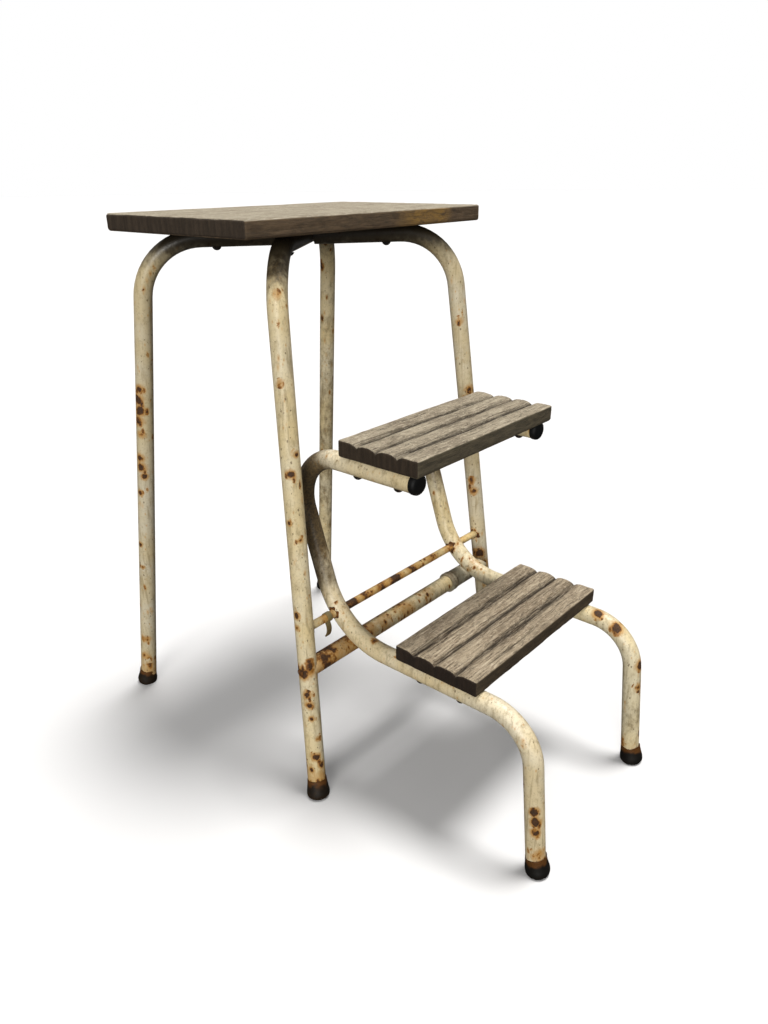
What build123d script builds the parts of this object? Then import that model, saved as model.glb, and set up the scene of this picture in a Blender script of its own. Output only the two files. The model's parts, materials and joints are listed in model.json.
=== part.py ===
from build123d import *
import os
from math import cos, radians, sin, tan

# A kitchen step stool. Two bent leg hoops cross under a wooden seat, and a step unit of two
# S-shaped tubes with two wooden treads turns on a rod between the front legs. Lifting the
# front feet of the unit turns it over and in under the seat, until a tube meets the sleeve on
# the crossbar.
#
# Millimetres, +Z up, front (the side one climbs from) towards -Y, left towards -X.
# Y is measured from the pivot rod while the pieces are made. Every piece then moves by
# FOOTPRINT_SHIFT, which puts the origin on the floor at the centre of the footprint.

# ---- driving dimensions -------------------------------------------------------------------
SEAT_TOP = 660.0
SEAT_WIDTH = 385.0
SEAT_FRONT, SEAT_REAR = 30.0, 270.0
SEAT_THICKNESS = 19.0

TUBE_RADIUS = 11.0
TUBE_WALL = 1.5

LEG_FOOT_X = 187.0
FRONT_FOOT_Y, REAR_FOOT_Y = -22.0, 339.0
FRONT_CORNER = (149.0, 42.0)
REAR_CORNER = (153.0, 263.0)
HOOP_BEND = 74.0
SEAT_SCREW_FROM_CORNER = 84.0
LAP_CLEARANCE = 0.2

PIVOT_Z = 218.0
ROD_RADIUS = 5.0
ROD_CLEARANCE = 0.08
CROSSBAR_Z = 168.5
SLEEVE_RADIUS, SLEEVE_RING_RADIUS = 12.6, 14.0
SLEEVE_INNER_END, SLEEVE_OUTER_END = 92.0, 146.0
TIE_RADIUS = 3.0
TIE_HEAD_RADIUS, TIE_HEAD_HEIGHT = 4.8, 1.7
TAB_X, TAB_WIDTH, TAB_LENGTH = -137.0, 7.0, 27.0

STEP_TUBE_X = 116.0
UPPER_TUBE_Z = 409.0
LOWER_TUBE_Z = 186.0
UPPER_TUBE_FRONT = -118.5
SMALL_BEND, LARGE_BEND = 55.0, 95.0
RISER_SLANT = 18.0
STEP_FOOT_Y = -286.0
STEP_FOOT_SLANT = 5.5

TREAD_WIDTH = 260.0
TREAD_DEPTH = 110.0
TREAD_THICKNESS = 20.0
UPPER_TREAD_Y = -74.0
LOWER_TREAD_Y = -153.0
UPPER_SCREWS_Y = (-93.0, -36.0)
LOWER_SCREWS_Y = (-180.0, -125.0)
RIDGES = 4
GROOVE_DEPTH, GROOVE_WIDTH = 4.2, 8.0

CAP_RADIUS = 13.8
CAP_HEIGHT = 23.0
CAP_FLOOR = 6.0
END_CAP_RADIUS = 12.0
END_CAP_LENGTH = 8.5
END_CAP_NOSE = 4.0

FOOTPRINT_SHIFT = -26.46

# ---- sizes worked out from them -----------------------------------------------------------
HOOP_Z = SEAT_TOP - SEAT_THICKNESS - TUBE_RADIUS
TUBE_BORE = TUBE_RADIUS - TUBE_WALL
HOLE_GAP = 0.05
SCREW_RADIUS = 2.2
SCREW_BITE = 13.0


# ---- shared shapes ------------------------------------------------------------------------
def bent_path(corners, radii):
    """Straight runs joined by tangent arcs, with one radius for each inner corner."""
    points = [Vector(*corner) for corner in corners]
    edges = []
    start = points[0]
    for before, corner, after, radius in zip(points, points[1:], points[2:], radii):
        back = (before - corner).normalized()
        ahead = (after - corner).normalized()
        half_angle = radians(back.get_angle(ahead)) / 2
        reach = radius / tan(half_angle)
        middle = corner + (back + ahead).normalized() * (radius / sin(half_angle) - radius)
        arc_start, arc_end = corner + back * reach, corner + ahead * reach
        edges.append(Line(start, arc_start))
        edges.append(ThreePointArc(arc_start, middle, arc_end))
        start = arc_end
    edges.append(Line(start, points[-1]))
    return Wire(edges)


def tube(path, radius=TUBE_RADIUS, wall=TUBE_WALL):
    """A round tube along a path, open at both ends."""
    section = Plane(path @ 0, z_dir=path % 0)
    return sweep(section * (Circle(radius) - Circle(radius - wall)), path=path)


def rod(start, end, radius):
    """A round bar, or the cutter for a round hole, between two points."""
    start, end = Vector(*start), Vector(*end)
    along = end - start
    place = Plane(start, z_dir=along)
    return place * Cylinder(radius, along.length, align=(Align.CENTER, Align.CENTER, Align.MIN))


def turned(points):
    """A solid of revolution about Z from (radius, height) points."""
    outline = Polyline(*[(r, 0, h) for r, h in points], close=True)
    return revolve(make_face(outline), axis=Axis.Z)


def dome(radius, height):
    """A round head standing on z = 0."""
    ball = (radius**2 + height**2) / (2 * height)
    tilt = radians(30)
    arc_x, arc_z = ball * sin(tilt), ball * cos(tilt) - (ball - height)
    outline = Polyline((0, 0, height), (0, 0, 0), (radius, 0, 0))
    arc = ThreePointArc((radius, 0, 0), (arc_x, 0, arc_z), (0, 0, height))
    return revolve(make_face([outline, arc]), axis=Axis.Z)


def screw(length):
    """A slotted round-head wood screw pointing up, with the underside of its head at z = 0."""
    head_radius, head_height, slot_width, slot_depth, tip = 5.4, 3.8, 1.2, 1.4, 4.0
    slot = Pos(0, 0, -head_height) * Box(4 * head_radius, slot_width, 2 * slot_depth)
    head = Rot(180, 0, 0) * dome(head_radius, head_height) - slot
    shank = turned([(0, -1), (SCREW_RADIUS, -1), (SCREW_RADIUS, length - tip), (0, length)])
    return head + shank


def foot_cap(floor_point, leg_direction):
    """A rubber cap on a tube end, in line with the leg and worn flat where it stands."""
    lip, spare, edge = 12.4, 1.4, 4.0
    outline = make_face(
        Polyline(
            (0, 0, -spare),
            (CAP_RADIUS, 0, -spare),
            (CAP_RADIUS, 0, 0.45 * CAP_HEIGHT),
            (lip, 0, CAP_HEIGHT),
            (TUBE_RADIUS + HOLE_GAP, 0, CAP_HEIGHT),
            (TUBE_RADIUS + HOLE_GAP, 0, CAP_FLOOR),
            (0, 0, CAP_FLOOR),
            close=True,
        )
    )
    rim = outline.vertices().filter_by(lambda v: v.X > CAP_RADIUS - 0.1 and v.Z < 0)
    cap = Plane(Vector(*floor_point), z_dir=leg_direction) * revolve(fillet(rim, edge), axis=Axis.Z)
    below_floor = Box(4 * CAP_RADIUS, 4 * CAP_RADIUS, 2 * CAP_RADIUS)
    return cap - Pos(floor_point[0], floor_point[1], -CAP_RADIUS) * below_floor


# ---- the leg hoops ------------------------------------------------------------------------
def leg(side, front):
    """The foot point and the upper corner of one leg's centre line."""
    corner = FRONT_CORNER if front else REAR_CORNER
    foot_y = FRONT_FOOT_Y if front else REAR_FOOT_Y
    return Vector(side * LEG_FOOT_X, foot_y, 0), Vector(side * corner[0], corner[1], HOOP_Z)


def leg_direction(side, front):
    foot, corner = leg(side, front)
    return (corner - foot).normalized()


def leg_point(side, front, height):
    """Where one leg's centre line is at a height."""
    foot, corner = leg(side, front)
    return foot + (corner - foot) * (height / HOOP_Z)


def hoop_direction(front_side):
    """Level direction under the seat, from the front corner on one side to the other rear one."""
    return (leg(-front_side, False)[1] - leg(front_side, True)[1]).normalized()


def seat_screw_points():
    """The four places under the seat where a screw goes up through a hoop."""
    points = []
    for side in (-1, 1):
        along = hoop_direction(side)
        points.append(leg(side, True)[1] + along * SEAT_SCREW_FROM_CORNER)
        points.append(leg(-side, False)[1] - along * SEAT_SCREW_FROM_CORNER)
    return points


def crossing():
    """The point where the two hoops cross."""
    corner, along = leg(-1, True)[1], hoop_direction(-1)
    return corner - along * (corner.X / along.X)


def lap_notch(other_side, upper):
    """The half of a hoop that is cut away to let the other hoop through."""
    width = 2 * (TUBE_RADIUS + LAP_CLEARANCE)
    reach = 3 * width
    sign = 1 if upper else -1
    centre = crossing() + Vector(0, 0, sign * (TUBE_RADIUS - HOLE_GAP / 2))
    place = Plane(centre, x_dir=hoop_direction(other_side), z_dir=(0, 0, 1))
    return place * Box(reach, width, 2 * TUBE_RADIUS)


def leg_hoop(front_side, lapped_above):
    """One bent tube from a front foot, under the seat, to the opposite rear foot."""
    ends = []
    for side, front in ((front_side, True), (-front_side, False)):
        foot, corner = leg(side, front)
        ends.append((foot + leg_direction(side, front) * CAP_FLOOR, corner))
    (front_end, front_corner), (rear_end, rear_corner) = ends
    path = bent_path((front_end, front_corner, rear_corner, rear_end), (HOOP_BEND, HOOP_BEND))
    hoop = tube(path) - lap_notch(-front_side, upper=lapped_above)
    for point in seat_screw_points():
        hoop -= Pos(*point) * Cylinder(SCREW_RADIUS + 4 * HOLE_GAP, 3 * TUBE_RADIUS)
    pivot = leg_point(front_side, True, PIVOT_Z)
    inner = pivot.X - front_side * 2 * TUBE_RADIUS
    hoop -= rod((inner, 0, PIVOT_Z), (pivot.X, 0, PIVOT_Z), ROD_RADIUS + HOLE_GAP)
    bar = leg_point(front_side, True, CROSSBAR_Z)
    hoop -= Pos(*bar) * Rot(0, 90, 0) * Cylinder(TIE_RADIUS + HOLE_GAP, 4 * TUBE_RADIUS)
    return hoop


def leg_shape(side, front=True):
    """The solid outline of one straight leg, used to shape what butts against it."""
    foot, corner = leg(side, front)
    return rod(foot, corner, TUBE_RADIUS + HOLE_GAP)


# ---- the seat -----------------------------------------------------------------------------
def seat_board():
    """The whole seat with rounded edges and pilot holes, before it is parted into planks."""
    depth = SEAT_REAR - SEAT_FRONT
    corner_radius, top_edge, bottom_edge = 5.0, 2.5, 1.5
    centre = Pos(0, (SEAT_FRONT + SEAT_REAR) / 2, SEAT_TOP - SEAT_THICKNESS / 2)
    board = centre * Box(SEAT_WIDTH, depth, SEAT_THICKNESS)
    board = fillet(board.edges().filter_by(Axis.Z), corner_radius)
    board = fillet(board.faces().sort_by(Axis.Z)[-1].edges(), top_edge)
    board = fillet(board.faces().sort_by(Axis.Z)[0].edges(), bottom_edge)
    for point in seat_screw_points():
        start = (point.X, point.Y, SEAT_TOP - SEAT_THICKNESS - 1)
        end = (point.X, point.Y, SEAT_TOP - SEAT_THICKNESS + SCREW_BITE + HOLE_GAP)
        board -= rod(start, end, SCREW_RADIUS + HOLE_GAP)
    return board


def seat_plank(front):
    """One of the two glued planks of the seat."""
    joint = (SEAT_FRONT + SEAT_REAR) / 2
    depth = SEAT_REAR - SEAT_FRONT
    centre_y = joint - depth / 2 if front else joint + depth / 2
    return seat_board() & Pos(0, centre_y, SEAT_TOP) * Box(2 * SEAT_WIDTH, depth, 4 * SEAT_THICKNESS)


def screws_from_below(points, underside, bite_from):
    """Equal screws, each with its head under a tube and its tip in the wood above."""
    length = bite_from + SCREW_BITE - underside
    return [Pos(x, y, underside - HOLE_GAP) * screw(length) for x, y in points]


# ---- pivot rod and crossbar ---------------------------------------------------------------
def pivot_rod():
    """The thin bar the step unit turns on, with its ends inside the front legs."""
    half = leg_point(1, True, PIVOT_Z).X + TUBE_BORE - 1.5
    return rod((-half, 0, PIVOT_Z), (half, 0, PIVOT_Z), ROD_RADIUS)


def rod_tab():
    """The small curved tab that hangs from the pivot rod beside the left step tube."""
    bore, eye, thickness = ROD_RADIUS + HOLE_GAP, ROD_RADIUS + 1.0, 1.6
    bow = ThreePointArc(
        (TAB_X, 1.0, PIVOT_Z - bore),
        (TAB_X, -2.5, PIVOT_Z - (bore + TAB_LENGTH) / 2),
        (TAB_X, 2.5, PIVOT_Z - TAB_LENGTH),
    )
    section = Plane(bow @ 0, x_dir=(1, 0, 0), z_dir=bow % 0) * Rectangle(TAB_WIDTH, thickness)
    tongue = sweep(section, path=Wire([bow]))
    tip = tongue.edges().filter_by(lambda e: abs(e.length - thickness) < 0.01).sort_by(Axis.Z)[:2]
    tongue = fillet(tip, 0.4 * TAB_WIDTH)
    ring = rod((TAB_X - TAB_WIDTH / 2, 0, PIVOT_Z), (TAB_X + TAB_WIDTH / 2, 0, PIVOT_Z), eye)
    hole = rod((TAB_X - TAB_WIDTH, 0, PIVOT_Z), (TAB_X + TAB_WIDTH, 0, PIVOT_Z), bore)
    return ring + tongue - hole


def crossbar_y():
    return leg_point(1, True, CROSSBAR_Z).Y


def crossbar():
    """The tube between the front legs, with its ends shaped to them."""
    half = leg_point(1, True, CROSSBAR_Z).X - 1.5
    y = crossbar_y()
    outer = rod((-half, y, CROSSBAR_Z), (half, y, CROSSBAR_Z), TUBE_RADIUS)
    bore = rod((-half, y, CROSSBAR_Z), (half, y, CROSSBAR_Z), TUBE_BORE)
    return outer - bore - leg_shape(-1) - leg_shape(1)


def crossbar_sleeve():
    """The hose on the right of the crossbar that stops the folding steps, with two rings on it."""
    bore, shoulder = TUBE_RADIUS + HOLE_GAP, 0.8
    points = [(bore, SLEEVE_INNER_END)]
    for ring_start, ring_end in ((0.0, 5.0), (7.5, 11.5)):
        start, end = SLEEVE_INNER_END + ring_start, SLEEVE_INNER_END + ring_end
        points += [
            (SLEEVE_RADIUS, start),
            (SLEEVE_RING_RADIUS, start + shoulder),
            (SLEEVE_RING_RADIUS, end - shoulder),
            (SLEEVE_RADIUS, end),
        ]
    points += [(SLEEVE_RADIUS, SLEEVE_OUTER_END), (bore, SLEEVE_OUTER_END)]
    return Pos(0, crossbar_y(), CROSSBAR_Z) * Rot(0, 90, 0) * turned(points)


def crossbar_tie_rod():
    """A long rivet through both front legs and the crossbar, with a round head at each end."""
    end = leg_point(1, True, CROSSBAR_Z).X + TUBE_RADIUS + 0.45
    y = crossbar_y()
    tie = rod((-end, y, CROSSBAR_Z), (end, y, CROSSBAR_Z), TIE_RADIUS)
    for side in (-1, 1):
        head = Rot(0, side * 90, 0) * dome(TIE_HEAD_RADIUS, TIE_HEAD_HEIGHT)
        tie += Pos(side * end, y, CROSSBAR_Z) * head
    return tie


# ---- the step unit ------------------------------------------------------------------------
def step_corners():
    """Corners of a step tube's centre line as (y, z), from its upper front end to its foot."""
    slant, lean = tan(radians(RISER_SLANT)), tan(radians(STEP_FOOT_SLANT))
    # The large bend passes through the pivot, where its centre line is PIVOT_Z high.
    rise = PIVOT_Z - LOWER_TUBE_Z
    bend_y = -((LARGE_BEND**2 - (LARGE_BEND - rise) ** 2) ** 0.5)
    lower_y = bend_y + LARGE_BEND * tan(radians(90 - RISER_SLANT) / 2)
    upper_y = lower_y + (UPPER_TUBE_Z - LOWER_TUBE_Z) * slant
    return [
        (UPPER_TUBE_FRONT, UPPER_TUBE_Z),
        (upper_y, UPPER_TUBE_Z),
        (lower_y, LOWER_TUBE_Z),
        (STEP_FOOT_Y + LOWER_TUBE_Z * lean, LOWER_TUBE_Z),
        (STEP_FOOT_Y + CAP_FLOOR * sin(radians(STEP_FOOT_SLANT)), CAP_FLOOR),
    ]


def step_tube(side):
    """One S-shaped tube: under the upper tread, round the back, past the pivot, to the floor."""
    path = bent_path(
        [(side * STEP_TUBE_X, y, z) for y, z in step_corners()],
        (SMALL_BEND, LARGE_BEND, SMALL_BEND),
    )
    shape = tube(path)
    x = side * STEP_TUBE_X
    hole = ROD_RADIUS + ROD_CLEARANCE
    shape -= rod((x - 2 * TUBE_RADIUS, 0, PIVOT_Z), (x + 2 * TUBE_RADIUS, 0, PIVOT_Z), hole)
    for tube_z, screws_y in ((UPPER_TUBE_Z, UPPER_SCREWS_Y), (LOWER_TUBE_Z, LOWER_SCREWS_Y)):
        for y in screws_y:
            shape -= Pos(x, y, tube_z) * Cylinder(SCREW_RADIUS + 4 * HOLE_GAP, 3 * TUBE_RADIUS)
    return shape


def tread_profile():
    """A tread's section as (y, z): a flat underside and four rounded ridges between grooves."""
    pitch, half = TREAD_DEPTH / RIDGES, TREAD_DEPTH / 2
    points = [(-half, 0), (-half, TREAD_THICKNESS)]
    for groove in range(1, RIDGES):
        y = -half + groove * pitch
        points.append((y - GROOVE_WIDTH / 2, TREAD_THICKNESS))
        points.append((y, TREAD_THICKNESS - GROOVE_DEPTH))
        points.append((y + GROOVE_WIDTH / 2, TREAD_THICKNESS))
    points += [(half, TREAD_THICKNESS), (half, 0)]
    face = make_face(Polyline(*[(0, y, z) for y, z in points], close=True))
    groove_floor = TREAD_THICKNESS - GROOVE_DEPTH + 0.1
    shoulders = face.vertices().filter_by(lambda v: v.Z > groove_floor and abs(v.Y) < half - 1)
    face = fillet(shoulders, 5.0)
    outer = face.vertices().filter_by(lambda v: abs(v.Y) > half - 0.1 and v.Z > groove_floor)
    return fillet(outer, 3.0)


def tread_screw_points(screws_y):
    return [(side * STEP_TUBE_X, y) for side in (-1, 1) for y in screws_y]


def tread(tread_y, tube_z, screws_y):
    """One wooden tread lying on the step tubes, with its pilot holes."""
    underside = tube_z + TUBE_RADIUS
    board = extrude(tread_profile(), amount=TREAD_WIDTH / 2, both=True)
    upright = board.edges().filter_by(Axis.Z).filter_by(lambda e: abs(e.center().X) > 100)
    board = Pos(0, tread_y, underside) * fillet(upright, 2.5)
    for x, y in tread_screw_points(screws_y):
        top = underside + SCREW_BITE + HOLE_GAP
        board -= rod((x, y, underside - 1), (x, y, top), SCREW_RADIUS + HOLE_GAP)
    return board


def tread_screws(tube_z, screws_y):
    """The four screws that come up through the step tubes into a tread."""
    points = tread_screw_points(screws_y)
    return screws_from_below(points, tube_z - TUBE_RADIUS, tube_z + TUBE_RADIUS)


def tube_end_cap(side):
    """The rubber cap on the upper front end of a step tube, squeezed flat under the tread."""
    nose, skirt, edge = -END_CAP_NOSE, END_CAP_LENGTH - END_CAP_NOSE, 3.0
    outline = make_face(
        Polyline(
            (0, 0, nose),
            (END_CAP_RADIUS, 0, nose),
            (END_CAP_RADIUS, 0, skirt),
            (TUBE_RADIUS + HOLE_GAP, 0, skirt),
            (TUBE_RADIUS + HOLE_GAP, 0, 0),
            (0, 0, 0),
            close=True,
        )
    )
    rim = outline.vertices().filter_by(lambda v: v.X > END_CAP_RADIUS - 0.1 and v.Z < 0)
    cap = Rot(-90, 0, 0) * revolve(fillet(rim, edge), axis=Axis.Z)
    under_tread = Pos(0, 0, 2 * TUBE_RADIUS - HOLE_GAP) * Box(60, 60, 2 * TUBE_RADIUS)
    return Pos(side * STEP_TUBE_X, UPPER_TUBE_FRONT, UPPER_TUBE_Z) * (cap - under_tread)


def step_foot_cap(side):
    lean = radians(STEP_FOOT_SLANT)
    return foot_cap((side * STEP_TUBE_X, STEP_FOOT_Y, 0), (0, sin(lean), cos(lean)))


# ---- write every piece --------------------------------------------------------------------
def pieces():
    hoop_underside = HOOP_Z - TUBE_RADIUS
    seat_points = [(p.X, p.Y) for p in seat_screw_points()]
    made = {
        "seat_plank_front": seat_plank(front=True),
        "seat_plank_rear": seat_plank(front=False),
        "seat_screws": screws_from_below(seat_points, hoop_underside, HOOP_Z + TUBE_RADIUS),
        "leg_hoop_over": leg_hoop(1, lapped_above=False),
        "leg_hoop_under": leg_hoop(-1, lapped_above=True),
        "pivot_rod": pivot_rod(),
        "rod_tab": rod_tab(),
        "crossbar": crossbar(),
        "crossbar_sleeve": crossbar_sleeve(),
        "crossbar_tie_rod": crossbar_tie_rod(),
        "upper_tread": tread(UPPER_TREAD_Y, UPPER_TUBE_Z, UPPER_SCREWS_Y),
        "lower_tread": tread(LOWER_TREAD_Y, LOWER_TUBE_Z, LOWER_SCREWS_Y),
        "upper_tread_screws": tread_screws(UPPER_TUBE_Z, UPPER_SCREWS_Y),
        "lower_tread_screws": tread_screws(LOWER_TUBE_Z, LOWER_SCREWS_Y),
    }
    for side, hand in ((-1, "left"), (1, "right")):
        made[f"step_tube_{hand}"] = step_tube(side)
        made[f"tube_end_cap_{hand}"] = tube_end_cap(side)
        made[f"foot_cap_step_{hand}"] = step_foot_cap(side)
        for front, end in ((True, "front"), (False, "rear")):
            foot = leg(side, front)[0]
            made[f"foot_cap_{end}_{hand}"] = foot_cap(tuple(foot), leg_direction(side, front))
    return made


os.makedirs("parts", exist_ok=True)
for name, shape in pieces().items():
    solids = shape if isinstance(shape, list) else [shape]
    solids = [solid for item in solids for solid in item.solids()]
    moved = [Pos(0, FOOTPRINT_SHIFT, 0) * solid for solid in solids]
    export_step(moved[0] if len(moved) == 1 else Compound(moved), f"parts/{name}.step")
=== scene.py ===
"""Looks of the step stool: weathered boards, chipped cream paint, rust and worn rubber."""

import json
import math

import bpy
import numpy as np
from mathutils import Matrix, Vector

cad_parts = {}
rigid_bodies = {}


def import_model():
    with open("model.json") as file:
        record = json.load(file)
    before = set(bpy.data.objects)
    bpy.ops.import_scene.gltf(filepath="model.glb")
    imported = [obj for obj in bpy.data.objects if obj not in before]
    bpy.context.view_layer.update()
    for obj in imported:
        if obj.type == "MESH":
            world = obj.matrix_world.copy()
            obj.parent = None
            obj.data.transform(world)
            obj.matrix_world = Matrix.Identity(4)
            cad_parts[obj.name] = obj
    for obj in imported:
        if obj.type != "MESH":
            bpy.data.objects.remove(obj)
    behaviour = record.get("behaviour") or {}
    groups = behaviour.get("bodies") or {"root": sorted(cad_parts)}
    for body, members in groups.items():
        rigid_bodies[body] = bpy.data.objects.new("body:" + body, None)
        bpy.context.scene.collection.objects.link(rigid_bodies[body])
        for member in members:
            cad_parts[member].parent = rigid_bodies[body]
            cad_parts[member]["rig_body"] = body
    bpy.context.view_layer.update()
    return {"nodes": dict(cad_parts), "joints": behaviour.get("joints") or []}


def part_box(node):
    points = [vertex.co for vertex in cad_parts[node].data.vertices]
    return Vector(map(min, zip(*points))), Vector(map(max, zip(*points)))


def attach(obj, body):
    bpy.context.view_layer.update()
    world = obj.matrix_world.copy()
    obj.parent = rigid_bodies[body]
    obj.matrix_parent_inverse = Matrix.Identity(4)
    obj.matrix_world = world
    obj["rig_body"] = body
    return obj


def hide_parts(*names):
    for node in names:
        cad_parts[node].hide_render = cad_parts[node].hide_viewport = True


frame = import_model()

STOOL, STEPS = "stool_frame", "step_unit"
PIVOT = Vector(frame["joints"][0]["pos_m"])
TUBE_RADIUS = 0.011
# The paint goes from clean to black between these heights, just under the seat: partly soiling, partly
# painted shade of the seat.
DIRT_AND_SHADE_HEIGHTS = (0.590, 0.626)


# ---- small helpers ----
def lattice_hash(ix, iy, iz, seed):
    """A repeatable number from 0 to 1 for every whole-numbered lattice point."""
    h = ix * 374761393 + iy * 668265263 + iz * 2147483647 + seed * 974634777
    h = (h ^ (h >> 13)) * 1274126177
    h = (h ^ (h >> 16)) & 0xFFFFFF
    return h / float(0xFFFFFF)


def noise(points, size, seed=0):
    """Smooth noise from -1 to 1. size is the feature size in metres, one number or three."""
    p = np.asarray(points, float) / np.asarray(size, float)
    base = np.floor(p).astype(np.int64)
    f = p - base
    f = f * f * (3 - 2 * f)
    total = 0
    for dx in (0, 1):
        wx = f[:, 0] if dx else 1 - f[:, 0]
        for dy in (0, 1):
            wy = f[:, 1] if dy else 1 - f[:, 1]
            for dz in (0, 1):
                wz = f[:, 2] if dz else 1 - f[:, 2]
                value = lattice_hash(base[:, 0] + dx, base[:, 1] + dy, base[:, 2] + dz, seed)
                total = total + wx * wy * wz * value
    return 2 * total - 1


def octaves(points, size, seed=0, count=3):
    """Several layers of noise, each half the size and strength of the last."""
    size = np.asarray(size, float)
    layers = [noise(points, size / 2**i, seed + i) / 2**i for i in range(count)]
    return sum(layers) / sum(1 / 2**i for i in range(count))


def smooth_step(value, low, high):
    t = np.clip((value - low) / (high - low), 0, 1)
    return t * t * (3 - 2 * t)


def make_object(name, verts, faces, body):
    """A mesh object that rides on a body; the caller gives it its finish."""
    mesh = bpy.data.meshes.new(name)
    mesh.from_pydata([tuple(v) for v in verts], [], faces)
    mesh.validate()
    mesh.update()
    obj = bpy.data.objects.new(name, mesh)
    bpy.context.scene.collection.objects.link(obj)
    mesh.polygons.foreach_set("use_smooth", [True] * len(mesh.polygons))
    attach(obj, body)
    return obj


def store(obj, name, values):
    """Keeps one number per vertex for the material to read."""
    attribute = obj.data.attributes.new(name, "FLOAT", "POINT")
    attribute.data.foreach_set("value", np.asarray(values, np.float32))


# ---- shader nodes ----
class Shader:
    """A material under construction, with one short method for each kind of node."""

    def __init__(self, name):
        self.material = bpy.data.materials.new(name)
        self.material.use_nodes = True
        self.tree = self.material.node_tree
        self.tree.nodes.clear()
        self.output = self.tree.nodes.new("ShaderNodeOutputMaterial")
        self.principled = self.tree.nodes.new("ShaderNodeBsdfPrincipled")
        self.link(self.principled.outputs["BSDF"], self.output.inputs["Surface"])
        self.coords = self.tree.nodes.new("ShaderNodeTexCoord").outputs["Object"]

    def link(self, out, to):
        self.tree.links.new(out, to)

    def put(self, value, socket):
        if isinstance(value, bpy.types.NodeSocket):
            self.link(value, socket)
        else:
            socket.default_value = value

    def scaled(self, scale, offset):
        """Object coordinates multiplied by a scale for each axis."""
        node = self.tree.nodes.new("ShaderNodeMapping")
        node.inputs["Scale"].default_value = scale
        node.inputs["Location"].default_value = offset
        self.link(self.coords, node.inputs["Vector"])
        return node.outputs["Vector"]

    def noise(self, size, detail, roughness=0.55, stretch=(1, 1, 1), offset=(0, 0, 0), distortion=0.0):
        """Noise from 0 to 1 with features of about size metres, longer where stretch is below 1."""
        node = self.tree.nodes.new("ShaderNodeTexNoise")
        node.inputs["Scale"].default_value = 1.0
        node.inputs["Detail"].default_value = detail
        node.inputs["Roughness"].default_value = roughness
        node.inputs["Distortion"].default_value = distortion
        scale = [s / size for s in stretch]
        self.link(self.scaled(scale, offset), node.inputs["Vector"])
        return node.outputs["Fac"]

    def spots(self, size, density, radius, stretch, offset):
        """Scattered ragged spots: above 0 inside one, falling below 0 outside it.

        size is how far apart they may lie, density the share of places that have one, and
        radius their usual radius as a share of size.
        """
        node = self.tree.nodes.new("ShaderNodeTexVoronoi")
        node.inputs["Scale"].default_value = 1.0
        self.link(self.scaled([t / size for t in stretch], offset), node.inputs["Vector"])
        channels = self.tree.nodes.new("ShaderNodeSeparateColor")
        self.link(node.outputs["Color"], channels.inputs["Color"])
        present = self.ramp(self.sub(density, channels.outputs[0]), -0.01, 0.01)
        reach = self.mul(self.add(self.mul(channels.outputs[1], 0.9), 0.35), radius)
        ragged = self.mul(self.sub(self.noise(size * 0.3, 3, offset=offset), 0.5), 0.5)
        inside = self.sub(self.mul(reach, present), node.outputs["Distance"])
        return self.add(inside, self.mul(ragged, present))

    def math(self, operation, a, b=0.0):
        node = self.tree.nodes.new("ShaderNodeMath")
        node.operation = operation
        self.put(a, node.inputs[0])
        self.put(b, node.inputs[1])
        return node.outputs[0]

    def add(self, a, b):
        return self.math("ADD", a, b)

    def sub(self, a, b):
        return self.math("SUBTRACT", a, b)

    def mul(self, a, b):
        return self.math("MULTIPLY", a, b)

    def biggest(self, *values):
        result = values[0]
        for value in values[1:]:
            result = self.math("MAXIMUM", result, value)
        return result

    def ramp(self, value, low, high, out_low=0.0, out_high=1.0):
        """Smooth change from out_low to out_high as value goes from low to high."""
        node = self.tree.nodes.new("ShaderNodeMapRange")
        node.interpolation_type = "SMOOTHSTEP"
        self.put(value, node.inputs["Value"])
        self.put(low, node.inputs["From Min"])
        self.put(high, node.inputs["From Max"])
        node.inputs["To Min"].default_value = out_low
        node.inputs["To Max"].default_value = out_high
        return node.outputs["Result"]

    def mix(self, fac, a, b):
        """Colour a where fac is 0, colour b where it is 1."""
        node = self.tree.nodes.new("ShaderNodeMix")
        node.data_type = "RGBA"
        self.put(fac, node.inputs["Factor"])
        self.put(colour(a), node.inputs["A"])
        self.put(colour(b), node.inputs["B"])
        return node.outputs["Result"]

    def attribute(self, name):
        node = self.tree.nodes.new("ShaderNodeAttribute")
        node.attribute_name = name
        return node.outputs["Fac"]

    def axis(self, index):
        """One object coordinate, in metres."""
        node = self.tree.nodes.new("ShaderNodeSeparateXYZ")
        self.link(self.coords, node.inputs[0])
        return node.outputs[index]

    def near(self, point, radius):
        """1 at a point, falling to 0 at radius metres from it."""
        node = self.tree.nodes.new("ShaderNodeVectorMath")
        node.operation = "DISTANCE"
        self.link(self.coords, node.inputs[0])
        node.inputs[1].default_value = point
        return self.ramp(node.outputs["Value"], 0.0, radius, 1.0, 0.0)

    def bump(self, height, distance, strength, under=None):
        node = self.tree.nodes.new("ShaderNodeBump")
        node.inputs["Distance"].default_value = distance
        node.inputs["Strength"].default_value = strength
        self.put(height, node.inputs["Height"])
        if under is not None:
            self.link(under, node.inputs["Normal"])
        return node.outputs["Normal"]

    def finish(self, base, roughness, normal=None, specular=0.5):
        self.put(colour(base), self.principled.inputs["Base Color"])
        self.put(roughness, self.principled.inputs["Roughness"])
        self.principled.inputs["Specular IOR Level"].default_value = specular
        if normal is not None:
            self.link(normal, self.principled.inputs["Normal"])
        return self.material


def colour(value):
    """An 8-bit sRGB triple such as (200, 190, 150) as a linear RGBA; sockets pass through."""
    if isinstance(value, bpy.types.NodeSocket):
        return value
    linear = [c / 255 / 12.92 if c / 255 <= 0.04045 else ((c / 255 + 0.055) / 1.055) ** 2.4 for c in value]
    return (*linear, 1.0)


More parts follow.
